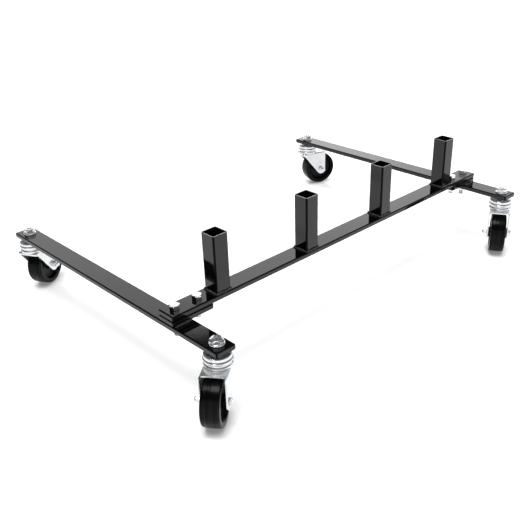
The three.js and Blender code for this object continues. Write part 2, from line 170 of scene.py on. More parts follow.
SOFTBOX_TOWARD = (-0.17, 0.05, 0.985)
SOFTBOX_EDGE = 0.98  # cosine of the angle that it spans from its middle
SOFTBOX_SOFTNESS = 0.01
SOFTBOX_RADIANCE = 10

CAMERA_LENS = 49.08
CAMERA_OFFSET = (-563.4, -714.2)  # from the left end of the beam and the front end of the left arm
CAMERA_HEIGHT = 745.3
CAMERA_DIP = 27.355
CAMERA_ROLL = -1.83
CAMERA_HEADING = -43.158

# ---- Outlines: lists of (x, y), anticlockwise ------------------------------------------------------


def arc(x, y, radius, start, end, steps):
    """Points on an arc, both ends included, with its angles in degrees."""
    points = []
    for i in range(steps + 1):
        a = math.radians(start + (end - start) * i / steps)
        points.append((x + radius * math.cos(a), y + radius * math.sin(a)))
    return points


def circle(radius, steps=TURN):
    return arc(0, 0, radius, 0, 360, steps)[:-1]


def rounded_rectangle(length, width, radii, steps=5):
    """Centred on the origin. radii are those of the right, then of the left pair of corners."""
    right, left = (max(r, 0.02) for r in radii)
    corners = (
        (1, -1, right, -90),
        (1, 1, right, 0),
        (-1, 1, left, 90),
        (-1, -1, left, 180),
    )
    points = []
    for x, y, radius, start in corners:
        centre = (x * (length / 2 - radius), y * (width / 2 - radius))
        points += arc(*centre, radius, start, start + 90, steps)
    return points


def hexagon(across, per_side=10, corner=0.5):
    """A hexagon with slightly rounded corners, with enough points along each side to take a chamfer."""
    flat = across / 2
    half = flat * math.tan(math.radians(30)) - corner * math.tan(math.radians(30))
    points = []
    for side in range(6):
        turn = Matrix.Rotation(math.radians(60 * side), 2)
        for i in range(per_side + 1):
            points.append(tuple(turn @ Vector((flat, half * (2 * i / per_side - 1)))))
        for x, y in arc(flat - corner, half, corner, 0, 60, 3)[1:-1]:
            points.append(tuple(turn @ Vector((x, y))))
    return points


def to_radius(points, radius):
    """The same points, each moved in or out to a radius."""
    return [tuple(Vector(p).normalized() * radius) for p in points]


def level(points, z):
    return [(x, y, z) for x, y in points]


# ---- Solids: (vertices, faces) ---------------------------------------------------------------------


def loft(rings, closed=False):
    """Skin over rings of equal length. The ends are capped, or joined to each other where closed."""
    count = len(rings[0])
    vertices = [p for ring in rings for p in ring]
    faces = []
    for r in range(len(rings) if closed else len(rings) - 1):
        low, high = r * count, (r + 1) % len(rings) * count
        for i in range(count):
            j = (i + 1) % count
            faces.append((low + i, low + j, high + j, high + i))
    if not closed:
        faces.append(tuple(reversed(range(count))))
        faces.append(tuple(range(len(vertices) - count, len(vertices))))
    return vertices, faces


def lathe(profile, closed=False, steps=TURN):
    """A profile of (radius, z) turned about Z, from low to high on its outside."""
    return loft([level(circle(radius, steps), z) for radius, z in profile], closed)


def moved(solid, matrix):
    vertices, faces = solid
    return [tuple(matrix @ Vector(v)) for v in vertices], faces


def merged(*solids):
    vertices, faces = [], []
    for points, polygons in solids:
        start = len(vertices)
        vertices += points
        faces += [tuple(start + i for i in polygon) for polygon in polygons]
    return vertices, faces


def quarter(count):
    """(share across, share up) along a quarter circle, from flat to upright."""
    turns = [math.pi / 2 * i / count for i in range(count + 1)]
    return [(1 - math.sin(t), 1 - math.cos(t)) for t in turns]


def slab(length, width, bottom, top, radii, edge=BAR_EDGE, low_edge=None, steps=4):
    """A flat plate with rounded corners in plan and rounded long edges."""

    def ring(inset, z):
        inner = [max(r - inset, 0.1) for r in radii]
        return level(rounded_rectangle(length - 2 * inset, width - 2 * inset, inner), z)

    low_edge = edge if low_edge is None else low_edge
    rings = [ring(low_edge * across, bottom + low_edge * up) for across, up in quarter(steps)]
    rings += [ring(edge * across, top - edge * up) for across, up in reversed(quarter(steps))]
    return loft(rings)


def hex_body(across, bottom, top, bore=None, low_chamfer=False, flange=None, face=0.48, mouth=None):
    """A hexagon head or nut.

    flange gives the rings of (radius, z) that come before the hexagon. face is the radius of the flat top,
    as a share of the width. mouth is the hole in a lip at the top of the bore.
    """
    outline = hexagon(across)
    face *= across
    slope, lead_in, lip = 0.55, 0.8, 1.2

    def corner_z(point, z, sign):
        return z + sign * slope * max(Vector(point).length - face, 0)

    rings = []
    if bore:
        rings.append(level(to_radius(outline, bore), bottom + lead_in))
        rings.append(level(to_radius(outline, bore + lead_in), bottom))
    if flange:
        rings += [level(to_radius(outline, radius), z) for radius, z in flange]
        foot_radius, foot_z = flange[-1]
        rise = flange_rise(flange)
        foot = [(*p, foot_z + rise * (foot_radius - Vector(p).length)) for p in outline]
        rings.append(foot)
    elif low_chamfer:
        rings.append(level(to_radius(outline, face), bottom))
        rings.append([(*p, corner_z(p, bottom, 1)) for p in outline])
    else:
        rings.append(level(outline, bottom))
    rings.append([(*p, corner_z(p, top, -1)) for p in outline])
    rings.append(level(to_radius(outline, face), top))
    if bore:
        hole = mouth or bore
        rings.append(level(to_radius(outline, hole + 0.9), top))
        rings.append(level(to_radius(outline, hole), top - lead_in))
    if mouth:
        rings.append(level(to_radius(outline, mouth), top - lip))
        rings.append(level(to_radius(outline, bore), top - lip))
    return loft(rings, closed=bool(bore))


def flange_rise(flange):
    """Height gained for each millimetre that the flange's cone runs inwards."""
    (_, _), (outer, low), (inner, high) = flange[-3:]
    return (high - low) / (outer - inner)


def threaded(radius, pitch, bottom, top, chamfer, steps=36, per_pitch=6):
    """A rod with a helical thread and tapered ends."""
    depth = 0.55 * pitch
    levels = int((top - bottom) / pitch * per_pitch)
    rings = []
    for i in range(levels + 1):
        z = bottom + (top - bottom) * i / levels
        limit = radius - chamfer + min(z - bottom, top - z)
        ring = []
        for j in range(steps):
            turn = (z / pitch - j / steps) % 1
            crest = 1 - abs(2 * turn - 1)
            r = min(limit, radius - depth * (1 - min(1, 1.25 * crest)))
            a = 2 * math.pi * j / steps
            ring.append((r * math.cos(a), r * math.sin(a), z))
        rings.append(ring)
    return loft(rings)


def weld_bead(start, end, radius, seed):
    """A straight run of overlapping ripples that tapers at both ends."""
    rng = random.Random(seed)
    start, end = Vector(start), Vector(end)
    length = (end - start).length
    along = (end - start).normalized()
    up = Vector((0, 0, 1))
    across = along.cross(up)
    count = max(int(length / WELD_STEP), 8)
    rings = []
    swell = 1.0
    for i in range(count + 1):
        run = length * i / count
        centre = start + along * run
        phase = run / WELD_RIPPLE % 1
        if phase < WELD_STEP / WELD_RIPPLE:
            swell = rng.uniform(0.75, 1.1)
        taper = min(1.0, math.sqrt(max(min(run, length - run), 0) / radius) + 0.15)
        ripple = 0.68 + 0.32 * math.sin(math.pi * min(phase * 1.15, 1))
        outline = circle(radius * swell * taper * ripple, 14)
        rings.append([tuple(centre + across * x + up * y) for x, y in outline])
    return loft(rings)


# ---- Objects ---------------------------------------------------------------------------------------


def mesh_from(name, solid, sharp=32):
    """A mesh in metres, smooth apart from edges that turn more than the angle."""
    vertices, faces = solid
    mesh = bpy.data.meshes.new(name)
    mesh.from_pydata([Vector(v) * MM for v in vertices], [], faces)
    return finish_mesh(mesh, sharp)


def finish_mesh(mesh, sharp=32):
    work = bmesh.new()
    work.from_mesh(mesh)
    bmesh.ops.remove_doubles(work, verts=work.verts, dist=1e-7)
    bmesh.ops.dissolve_degenerate(work, edges=work.edges, dist=1e-7)
    bmesh.ops.recalc_face_normals(work, faces=work.faces)
    for face in work.faces:
        face.smooth = True
    for edge in work.edges:
        edge.smooth = edge.calc_face_angle(0) < math.radians(sharp)
    work.to_mesh(mesh)
    work.free()
    return mesh


def add(name, mesh, body, material, replaces=(), matrix=None, flat=True):
    """Puts a piece on a body. flat evens the shading of its flat faces."""
    piece = bpy.data.objects.new(name, mesh)
    bpy.context.scene.collection.objects.link(piece)
    if not mesh.materials:
        mesh.materials.append(material)
    if flat:
        even = piece.modifiers.new("even_shading", "WEIGHTED_NORMAL")
        even.keep_sharp = True
        even.weight = 100
    if matrix is not None:
        piece.matrix_world = matrix
    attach(piece, body)
    if replaces:
        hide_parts(*replaces)


def at(x, y, z=0, turn=0):
    """A placing in millimetres, turned about Z by degrees."""
    return Matrix.Translation(Vector((x, y, z)) * MM) @ Matrix.Rotation(math.radians(turn), 4, "Z")


def scratch_object(solid):
    obj = bpy.data.objects.new("scratch", mesh_from("scratch", solid))
    bpy.context.scene.collection.objects.link(obj)
    return obj


def apply_modifiers(obj):
    graph = bpy.context.evaluated_depsgraph_get()
    obj.data = bpy.data.meshes.new_from_object(obj.evaluated_get(graph))
    obj.modifiers.clear()


def carve(obj, *steps):
    """Runs boolean steps of (operation, solid) on a scratch object."""
    for operation, solid in steps:
        tool = scratch_object(solid)
        change = obj.modifiers.new("change", "BOOLEAN")
        change.operation = operation
        change.solver = "EXACT"
        change.object = tool
        apply_modifiers(obj)
        bpy.data.objects.remove(tool)


def taken(obj, name):
    """The scratch object's mesh, with the object removed."""
    mesh = obj.data
    mesh.name = name
    bpy.data.objects.remove(obj)
    return finish_mesh(mesh)


# ---- Materials -------------------------------------------------------------------------------------


def new_finish(name, settings):
    material = bpy.data.materials.new(name)
    material.use_nodes = True
    nodes, links = material.node_tree.nodes, material.node_tree.links
    shader = nodes["Principled BSDF"]
    for socket, value in settings.items():
        shader.inputs[socket].default_value = value
    coordinates = nodes.new("ShaderNodeTexCoord")
    return material, nodes, links, shader, coordinates.outputs["Object"]


def noise(nodes, links, source, scale, detail=2.0, stretch=(1, 1, 1), distortion=0.0):
    mapping = nodes.new("ShaderNodeMapping")
    mapping.inputs["Scale"].default_value = stretch
    links.new(source, mapping.inputs["Vector"])
    texture = nodes.new("ShaderNodeTexNoise")
    texture.inputs["Scale"].default_value = scale
    texture.inputs["Detail"].default_value = detail
    texture.inputs["Distortion"].default_value = distortion
    links.new(mapping.outputs["Vector"], texture.inputs["Vector"])
    return texture.outputs["Fac"]


def spread(nodes, links, source, low, high, start=0.3, end=0.7):
    """Maps the middle of a noise's range to low and high."""
    node = nodes.new("ShaderNodeMapRange")
    node.inputs["From Min"].default_value = start
    node.inputs["From Max"].default_value = end
    node.inputs["To Min"].default_value = low
    node.inputs["To Max"].default_value = high
    links.new(source, node.inputs["Value"])
    return node.outputs["Result"]


def blend_colours(nodes, links, source, dark, light):
    ramp = nodes.new("ShaderNodeValToRGB")
    ramp.color_ramp.elements[0].position = 0.3
    ramp.color_ramp.elements[0].color = (*dark, 1)
    ramp.color_ramp.elements[1].position = 0.7
    ramp.color_ramp.elements[1].color = (*light, 1)
    links.new(source, ramp.inputs["Fac"])
    return ramp.outputs["Color"]


def bump(nodes, links, shader, source, distance, strength, below=None):
    node = nodes.new("ShaderNodeBump")
    node.inputs["Distance"].default_value = distance
    node.inputs["Strength"].default_value = strength
    links.new(source, node.inputs["Height"])
    if below is not None:
        links.new(below, node.inputs["Normal"])
    links.new(node.outputs["Normal"], shader.inputs["Normal"])
    return node.outputs["Normal"]


def black_paint(name, thin_edges):
    """Gloss black powder coat: a faint orange peel, uneven depth and soft marks of handling.

    thin_edges dulls the coat where a bar or tube turns a corner.
    """
    settings = {"Specular IOR Level": 0.46 if thin_edges else 0.8, "IOR": 1.5}
    material, nodes, links, shader, place = new_finish(name, settings)
    clouds = noise(nodes, links, place, 14, 4)
    tone = blend_colours(nodes, links, clouds, (0.0015, 0.0015, 0.0018), (0.0035, 0.0035, 0.0038))
    links.new(tone, shader.inputs["Base Color"])
    marks = noise(nodes, links, place, 55, 6, (1, 1, 1), 0.6)
    links.new(spread(nodes, links, marks, 0.04, 0.085), shader.inputs["Roughness"])
    if thin_edges:
        shine = spread(nodes, links, squareness(nodes, links), 0.06, 0.46, 0.985, 0.999)
        links.new(shine, shader.inputs["Specular IOR Level"])
    peel = noise(nodes, links, place, 420, 1)
    waves = noise(nodes, links, place, 60, 1)
    first = bump(nodes, links, shader, waves, 0.00012, 0.14)
    bump(nodes, links, shader, peel, 0.00003, 0.2, first)
    return material


def sawn_rim_with_painted_highlight():
    """The sawn end of a tube, where the coat is thin and the steel shows through, made lighter to paint in
    the highlight that runs along the rim.
    """
    settings = {"Metallic": 0.6, "Roughness": 0.25}
    material, nodes, links, shader, place = new_finish("thin_coat_and_painted_highlight_on_rim", settings)
    # Lighter grey steel tones: worn coat, and a painted highlight along the rim.
    wear_and_highlight = noise(nodes, links, place, 220, 3)
    worn_and_highlight = blend_colours(nodes, links, wear_and_highlight, (0.16, 0.16, 0.16), (0.42, 0.42, 0.42))
    links.new(worn_and_highlight, shader.inputs["Base Color"])
    return material


def squareness(nodes, links):
    """The largest part of the normal along the object's own axes: 1 on a flat face, less on an edge."""
    normal = nodes.new("ShaderNodeTexCoord").outputs["Normal"]
    parts = nodes.new("ShaderNodeSeparateXYZ")
    links.new(normal, parts.inputs[0])
    largest = None
    for part in parts.outputs:
        size = nodes.new("ShaderNodeMath")
        size.operation = "ABSOLUTE"
        links.new(part, size.inputs[0])
        if largest is None:
            largest = size.outputs[0]
            continue
        more = nodes.new("ShaderNodeMath")
        more.operation = "MAXIMUM"
        links.new(largest, more.inputs[0])
        links.new(size.outputs[0], more.inputs[1])
        largest = more.outputs[0]
    return largest


def zinc(name, metallic, roughness):
    """Bright zinc plate on steel, with faint forming marks and a slightly uneven blue-white tone."""
    settings = {"Metallic": metallic}
    material, nodes, links, shader, place = new_finish(name, settings)
    tone = noise(nodes, links, place, 60, 3)
    plate = blend_colours(nodes, links, tone, (0.72, 0.74, 0.77), (0.86, 0.87, 0.88))
    links.new(plate, shader.inputs["Base Color"])
    satin = noise(nodes, links, place, 90, 2, (1, 1, 1.5))
    links.new(spread(nodes, links, satin, *roughness), shader.inputs["Roughness"])
    press = noise(nodes, links, place, 70, 1)
    grain = noise(nodes, links, place, 1500, 2)
    first = bump(nodes, links, shader, press, 0.00015, 0.08)
    bump(nodes, links, shader, grain, 0.00001, 0.12, first)
    return material


def bearing_steel():
    """Oiled bearing steel, darker than the plated parts."""
    settings = {"Metallic": 1.0, "Roughness": 0.25}
    material, nodes, links, shader, place = new_finish("oiled_steel", settings)
    tone = noise(nodes, links, place, 150, 4)
    oiled = blend_colours(nodes, links, tone, (0.22, 0.21, 0.20), (0.45, 0.45, 0.45))
    links.new(oiled, shader.inputs["Base Color"])
    smear = noise(nodes, links, place, 300, 4)
    links.new(spread(nodes, links, smear, 0.15, 0.4), shader.inputs["Roughness"])
    return material


def wheel_black():
    """Satin black moulded wheel. Its axle is the mesh's own Z, and fine turning marks run round it."""
    settings = {"Specular IOR Level": 0.16, "Roughness": 0.2}
    material, nodes, links, shader, place = new_finish("satin_black_tread", settings)
    clouds = noise(nodes, links, place, 40, 4)
    black = blend_colours(nodes, links, clouds, (0.001, 0.001, 0.001), (0.003, 0.003, 0.003))
    links.new(black, shader.inputs["Base Color"])
    rings = noise(nodes, links, place, 650, 3, (0.02, 0.02, 1))
    links.new(spread(nodes, links, rings, 0.12, 0.3), shader.inputs["Roughness"])
    links.new(spread(nodes, links, rings, 0.03, 0.17), shader.inputs["Specular IOR Level"])
    first = bump(nodes, links, shader, rings, 0.00004, 0.3)
    grain = noise(nodes, links, place, 1800, 2)
    bump(nodes, links, shader, grain, 0.00002, 0.35, first)
    return material


PAINT = black_paint("gloss_black_coat", True)
BEAD = black_paint("gloss_black_weld", False)
RIM_WEAR_AND_HIGHLIGHT = sawn_rim_with_painted_highlight()
ZINC = zinc("bright_zinc_pressed", 0.75, (0.14, 0.22))
BOLT_ZINC = zinc("bright_zinc_bolt", 1.0, (0.08, 0.13))
STEEL = bearing_steel()
TREAD = wheel_black()

# ---- Frame -----------------------------------------------------------------------------------------


def bar(name, box, radii, along_y=False):
    """A flat bar in the place of a CAD node."""
    length, width = (box.size.y, box.size.x) if along_y else (box.size.x, box.size.y)
    half = box.size.z / 2
    mesh = mesh_from(name, slab(length, width, -half, half, radii), 20)
    matrix = at(*box.mid, 90 if along_y else 0)
    add(f"{name}_bar", mesh, "frame", PAINT, [name], matrix)


def socket(index):
    box = Box(f"socket_{index}")
    size, top, bottom = box.size.x, box.size.z, 0
    inside = size - 2 * SOCKET_WALL

    def outer(inset, z):
        corner = SOCKET_CORNER - inset
        side = size - 2 * inset
        return level(rounded_rectangle(side, side, (corner, corner)), z)

    def inner(outset, z):
        corner = SOCKET_INNER_CORNER + outset
        side = inside + 2 * outset
        return level(rounded_rectangle(side, side, (corner, corner)), z)

    rings = [outer(0, bottom)]
    rings += [outer(RIM_EDGE * across, top - RIM_EDGE * up) for across, up in reversed(quarter(3))]
    rings += [inner(RIM_EDGE * across, top - RIM_EDGE * up) for across, up in quarter(3)]
    rings.append(inner(0, bottom))
    mesh = mesh_from(f"socket_{index}", loft(rings, closed=True), 25)
    mesh.materials.append(PAINT)
    mesh.materials.append(RIM_WEAR_AND_HIGHLIGHT)
    # The rim faces take the lighter finish, which paints in the highlight line along the rim.
    for polygon in mesh.polygons:
        polygon.material_index = int(polygon.center.z > (top - RIM_EDGE) * MM)
    matrix = at(box.mid.x, box.mid.y, box.low.z)
    add(f"socket_{index}_tube", mesh, "frame", PAINT, [f"socket_{index}"], matrix)


def socket_weld(index):
    """A fillet round the foot of a socket, in four runs."""
    box = Box(f"socket_{index}")
    foot = Vector((box.mid.x, box.mid.y, box.low.z + 0.2))
    half = box.size.x / 2 + WELD_STANDOFF
    runs = []
    for side in range(4):
        turn = Matrix.Rotation(math.radians(90 * side), 3, "Z")
        ends = [turn @ Vector((reach, -half, 0)) + foot for reach in (-half - 0.9, half + 0.9)]
        runs.append(weld_bead(*ends, WELD_RADIUS, 10 * index + side))
    mesh = mesh_from(f"socket_{index}_weld", merged(*runs), 50)
    add(f"socket_{index}_weld", mesh, "frame", BEAD, flat=False)


def bracket_weld(hand):
    """Runs where a bracket meets its arm: in front, behind, and under the overhang."""
    bracket, arm = BRACKETS[hand], ARMS[hand]
    z = arm.high.z + GAP
    runs = []
    for k, y in enumerate((bracket.low.y - GAP, bracket.high.y + GAP)):
        ends = [(x, y, z) for x in (arm.low.x + WELD_INSET, arm.high.x - WELD_INSET)]
        runs.append(weld_bead(*ends, WELD_RADIUS, 60 + k))
    x = arm.high.x + WELD_STANDOFF if hand == "left" else arm.low.x - WELD_STANDOFF
    ends = [(x, y, z - 1) for y in (bracket.low.y + WELD_INSET, bracket.high.y - WELD_INSET)]
    runs.append(weld_bead(*ends, WELD_RADIUS * 0.8, 70))
    mesh = mesh_from(f"bracket_{hand}_weld", merged(*runs), 50)
    add(f"bracket_{hand}_weld", mesh, "frame", BEAD, flat=False)


# Degrees that each tightened head stands turned to, and how much further its nut does
BOLT_TURNS = {"left_outer": 12, "left_inner": 16, "right_outer": 24, "right_inner": 5}
NUT_LAG = 17


def joint_bolt(hand, place):
    name = f"{hand}_{place}"
    bolt, nut = Box(f"bolt_{name}"), Box(f"nut_{name}")
    seat = BEAM.high.z + GAP
    head = merged(
        lathe([(JOINT_WASHER_FACE, 0), (JOINT_WASHER_FACE, 0.5)]),
        hex_body(JOINT_HEX, 0.4, bolt.high.z - seat),
        threaded(JOINT_RADIUS, JOINT_PITCH, bolt.low.z - seat, 0.2, 0.8),
    )
    turn = BOLT_TURNS[name]
    matrix = at(bolt.mid.x, bolt.mid.y, seat, turn)
    mesh = mesh_from(f"bolt_{name}", head)
    add(f"bolt_{name}_part", mesh, "frame", BOLT_ZINC, [f"bolt_{name}"], matrix)
    body = hex_body(JOINT_HEX, 0, nut.size.z, JOINT_RADIUS + THREAD_FIT, low_chamfer=True)
    mesh = mesh_from(f"nut_{name}", body)
    matrix = at(nut.mid.x, nut.mid.y, nut.low.z, turn + NUT_LAG)
    add(f"nut_{name}_part", mesh, "frame", BOLT_ZINC, [f"nut_{name}"], matrix)


bar("cross_beam", BEAM, (BAR_CORNER, BAR_CORNER))
for hand in ("left", "right"):
    bar(f"arm_{hand}", ARMS[hand], (BAR_CORNER, BAR_CORNER), True)
    radii = (BRACKET_CORNER, BAR_CORNER) if hand == "left" else (BAR_CORNER, BRACKET_CORNER)
    bar(f"bracket_{hand}", BRACKETS[hand], radii)
    bracket_weld(hand)
    for place in ("outer", "inner"):
        joint_bolt(hand, place)
for index in range(1, 5):
    socket(index)
    socket_weld(index)

# ---- Casters: each mesh is made once, in the caster's own frame ----------------------------------


def fillet(points, steps=8):
    """An outline of (x, y, radius) with its corners rounded."""
    outline = []
    for i, (x, y, radius) in enumerate(points):
        here = Vector((x, y))
        before = Vector(points[i - 1][:2]) - here
        after = Vector(points[(i + 1) % len(points)][:2]) - here
        if radius == 0:
            outline.append((x, y))
            continue
        half = before.angle(after) / 2
        reach = radius / math.tan(half)
        start, end = here + before.normalized() * reach, here + after.normalized() * reach
        halfway = (before.normalized() + after.normalized()).normalized()
        middle = here + halfway * radius / math.sin(half)
        spoke = start - middle
        sweep = spoke.angle_signed(end - middle)
        for k in range(steps + 1):
            turned = Matrix.Rotation(-sweep * k / steps, 2) @ spoke
            outline.append(tuple(middle + turned))
    return outline


def fork_side():
    """Side view of the whole fork: the top, the turned-down front edge and the legs."""
    knee = Vector((FORK_FRONT + KNEE_SETBACK, SKIRT_BOTTOM))
    tip = Vector((TRAIL, WHEEL_RADIUS))
    to_knee = knee - tip
    front = math.degrees(math.atan2(to_knee.y, to_knee.x) + math.acos(LEG_TIP_RADIUS / to_knee.length))
    rear = 360 - math.degrees(math.acos((FORK_REAR - TRAIL) / LEG_TIP_RADIUS))
    round_tip = arc(*tip, LEG_TIP_RADIUS, front, rear, 20)
    corners = fillet([
        (FORK_REAR, FORK_TOP + 1, 0),
        (FORK_FRONT - 1, FORK_TOP + 1, 0),
        (FORK_FRONT - 1, SKIRT_BOTTOM, 0),
        (knee.x, knee.y, KNEE_RADIUS),
        (*round_tip[0], 0),
    ])
    return corners[:-1] + round_tip + [(FORK_REAR, FORK_TOP - 6)]


def prism_along_y(outline, half):
    return loft([[(x, side * half, z) for x, z in outline] for side in (1, -1)])


def fork_mesh():
    length = FORK_REAR - FORK_FRONT
    middle = FORK_FRONT + length / 2
    width = 2 * FORK_HALF_WIDTH
    inside = width - 2 * FORK_SHEET
    shell = slab(length, width, LEG_BOTTOM, FORK_TOP, (2.5, 5), FORK_BEND, FORK_SHARP)
    fork = scratch_object(moved(shell, Matrix.Translation((middle, 0, 0))))
    below, above = LEG_BOTTOM - 4, FORK_TOP + 17.5
    hollow_top = FORK_TOP - FORK_SHEET
    hollow = slab(length + 20, inside, below, hollow_top, (2.5, 2.5), FORK_INNER_BEND, FORK_SHARP)
    rear_gap = slab(20, inside, below, above, (1.5, 2.5), FORK_SHARP)
    pad = slab(*FORK_PAD, FORK_TOP - 1, FORK_PAD_TOP, (15, 15), 1.3, FORK_SHARP)
    crown_profile = [
        (24.6, FORK_TOP - 1),
        (24.5, 94.6),
        (24.2, 95.3),
        (23.4, 96.0),
        (22.5, 96.6),
        (22.0, 97.4),
        (21.9, 98.4),
        (21.6, 99.4),
        (21.0, CROWN_TOP),
    ]
    pin = [(KINGPIN_RADIUS + GAP, 60), (KINGPIN_RADIUS + GAP, 120)]
    axle = lathe([(AXLE_RADIUS + GAP, -40), (AXLE_RADIUS + GAP, 40)], steps=40)
    across = Matrix.Translation((TRAIL, 0, WHEEL_RADIUS)) @ Matrix.Rotation(math.pi / 2, 4, "X")
    carve(
        fork,
        ("DIFFERENCE", moved(hollow, Matrix.Translation((middle + 10 + FORK_SHEET, 0, 0)))),
        ("DIFFERENCE", moved(rear_gap, Matrix.Translation((FORK_REAR_LIP + 10, 0, 0)))),
        ("INTERSECT", prism_along_y(fork_side(), 40)),
        ("UNION", pad),
        ("UNION", lathe(crown_profile)),
        ("DIFFERENCE", lathe(pin, steps=40)),
        ("DIFFERENCE", moved(axle, across)),
    )
    edge = fork.modifiers.new("edge", "BEVEL")
    edge.width = FORK_BURR * MM
    edge.segments = 2
    edge.limit_method = "ANGLE"
    edge.angle_limit = math.radians(50)
    edge.use_clamp_overlap = True
    apply_modifiers(fork)
    return taken(fork, "fork")


def curve_points(start, control, end, steps):
    """Points on a quadratic curve, without its start."""
    points = []
    for i in range(1, steps + 1):
        t = i / steps
        weights = ((1 - t) ** 2, 2 * t * (1 - t), t * t)
        ends = zip(start, control, end)
        points.append(tuple(sum(w * v for w, v in zip(weights, values)) for values in ends))
    return points


def wheel_mesh():
    """Moulded wheel about its own Z: crowned tread with a parting line, recessed sides and a long hub."""
    edge = WHEEL_RADIUS - TREAD_CROWN
    shoulder = (edge, TREAD_EDGE)
    side = [(6.3, HUB_FACE - 0.6), (6.8, HUB_FACE), (11.0, HUB_FACE), (11.5, HUB_FACE - 0.5)]
    side += [(12.2, 8.0), (13.0, 6.8), (14.2, 6.2), (24.0, 6.0)]
    side += [(24.8, 6.6), (25.6, 7.2), (29.6, 7.4), (30.6, 8.2), (31.2, 9.4)]
    side += [(32.9, 15.2), (33.5, 15.9), (34.2, TREAD_HALF), (LIP_OUTER, TREAD_HALF)]
    side += curve_points((LIP_OUTER, TREAD_HALF), (edge, TREAD_HALF), shoulder, 8)
    side += curve_points(shoulder, (edge + 0.35, 6), (WHEEL_RADIUS - 0.12, 0.35), 5)
    side += [(WHEEL_RADIUS, 0.2)]
    profile = [(r, -z) for r, z in side] + [(r, z) for r, z in reversed(side)]
    return mesh_from("wheel", lathe(profile, closed=True, steps=144), 40)


def cup_mesh():
    bore, rim = KINGPIN_RADIUS + GAP, 23.5
    bend = (rim, 109.6)
    profile = [(bore, CUP_ROOF), (17.0, CUP_ROOF), (18.4, CUP_ROOF - 0.4)]
    profile += [(21.0, CUP_BOTTOM + 0.3), (21.4, CUP_BOTTOM), (23.2, CUP_BOTTOM)]
    profile += [(rim, CUP_BOTTOM + 0.3), bend]
    profile += curve_points(bend, (rim, CUP_TOP), (20.9, CUP_TOP), 8)
    profile += [(10.5, CUP_TOP), (10.2, CUP_TOP - 0.2), (bore, CUP_TOP - 0.2)]
    return mesh_from("top_cup", lathe(profile, closed=True), 35)


def race_mesh():
    bore, rim = 7.3, 25
    middle = (RACE_BOTTOM + RACE_TOP) / 2
    profile = [(bore, RACE_BOTTOM), (23.5, RACE_BOTTOM)]
    profile += curve_points((23.5, RACE_BOTTOM), (rim, RACE_BOTTOM), (rim, middle), 6)
    profile += curve_points((rim, middle), (rim, RACE_TOP), (23.6, RACE_TOP), 6)
    profile += [(22.9, RACE_TOP - 0.2), (21.8, RACE_FLOOR + 0.5), (21.0, RACE_FLOOR)]
    profile.append((bore, RACE_FLOOR))
    return mesh_from("race_ring", lathe(profile, closed=True), 35)


def balls_mesh():
    radius = (CUP_ROOF - RACE_FLOOR) / 2 - GAP
    z = (CUP_ROOF + RACE_FLOOR) / 2
    work = bmesh.new()
    for i in range(BALL_COUNT):
        a = 2 * math.pi * i / BALL_COUNT
        centre = Vector((BALL_TRACK_RADIUS * math.cos(a), BALL_TRACK_RADIUS * math.sin(a), z))
        place = Matrix.Translation(centre * MM)
        bmesh.ops.create_icosphere(work, subdivisions=3, radius=radius * MM, matrix=place)
    mesh = bpy.data.meshes.new("balls")
    work.to_mesh(mesh)
    work.free()
    return finish_mesh(mesh, 60)


def stem_mesh():
    """Stem with its hexagon shoulder, and the kingpin below with its riveted head."""
    top = ARM_TOP + GAP + NUT_HEIGHT - STEM_TOP_RECESS
    head_top = FORK_TOP - FORK_SHEET - GAP
    head = [(6.0, head_top - 3), (7.0, head_top - 2.7), (7.8, head_top - 1.8), (8.0, head_top - 0.9)]
    shank = [(8.0, head_top), (KINGPIN_RADIUS, head_top), (KINGPIN_RADIUS, CUP_TOP + 1)]
    shoulder = hex_body(SHOULDER_HEX, CUP_TOP + GAP, DECK - GAP, low_chamfer=True)
    thread = threaded(STEM_RADIUS, STEM_PITCH, DECK - 1, top, 1.2)
    return mesh_from("stem", merged(lathe(head + shank), shoulder, thread))


def flange_nut_mesh():
    flange = [(12.2, 0), (13.0, 0.5), (13.0, 1.4), (12.7, 1.9), (10.4, 2.8)]
    bore = STEM_RADIUS + THREAD_FIT
    body = hex_body(NUT_HEX, 0, NUT_HEIGHT, bore, flange=flange, face=0.44, mouth=NUT_MOUTH)
    return mesh_from("flange_nut", body)


def axle_bolt_mesh():
    """Axle bolt along its own Z, with its head at the top."""
    seat = FORK_HALF_WIDTH + GAP
    head = hex_body(AXLE_HEX, seat, seat + AXLE_HEAD)
    thread = threaded(AXLE_RADIUS, AXLE_PITCH, AXLE_END, -seat + 2, 0.8)
    shank = lathe([(AXLE_RADIUS, -seat + 1), (AXLE_RADIUS, seat + 0.5)], steps=36)
    return mesh_from("axle_bolt", merged(head, thread, shank))


def axle_nut_mesh():
    body = hex_body(AXLE_HEX, 0, AXLE_NUT_HEIGHT, AXLE_RADIUS + THREAD_FIT, low_chamfer=True)
    return mesh_from("axle_nut", body)


def bush_mesh():
    half = FORK_HALF_WIDTH - FORK_SHEET - GAP
    bore, chamfer = AXLE_RADIUS + GAP, 0.3
    profile = [(bore, -half), (BUSH_RADIUS - chamfer, -half), (BUSH_RADIUS, chamfer - half)]
    profile += [(BUSH_RADIUS, half - chamfer), (BUSH_RADIUS - chamfer, half), (bore, half)]
    return mesh_from("hub_bush", lathe(profile, closed=True, steps=48))


MESHES = {
    "flange_nut": flange_nut_mesh(),
    "stem": stem_mesh(),
    "top_cup": cup_mesh(),
    "ball_ring": balls_mesh(),
    "race_ring": race_mesh(),
    "fork": fork_mesh(),
    "axle_bolt": axle_bolt_mesh(),
    "axle_nut": axle_nut_mesh(),
    "hub_bush": bush_mesh(),
    "wheel": wheel_mesh(),
}
# Degrees that each flange nut stands turned to
NUT_TURNS = {"front_left": 47, "rear_left": 8, "rear_right": 0, "front_right": 5}


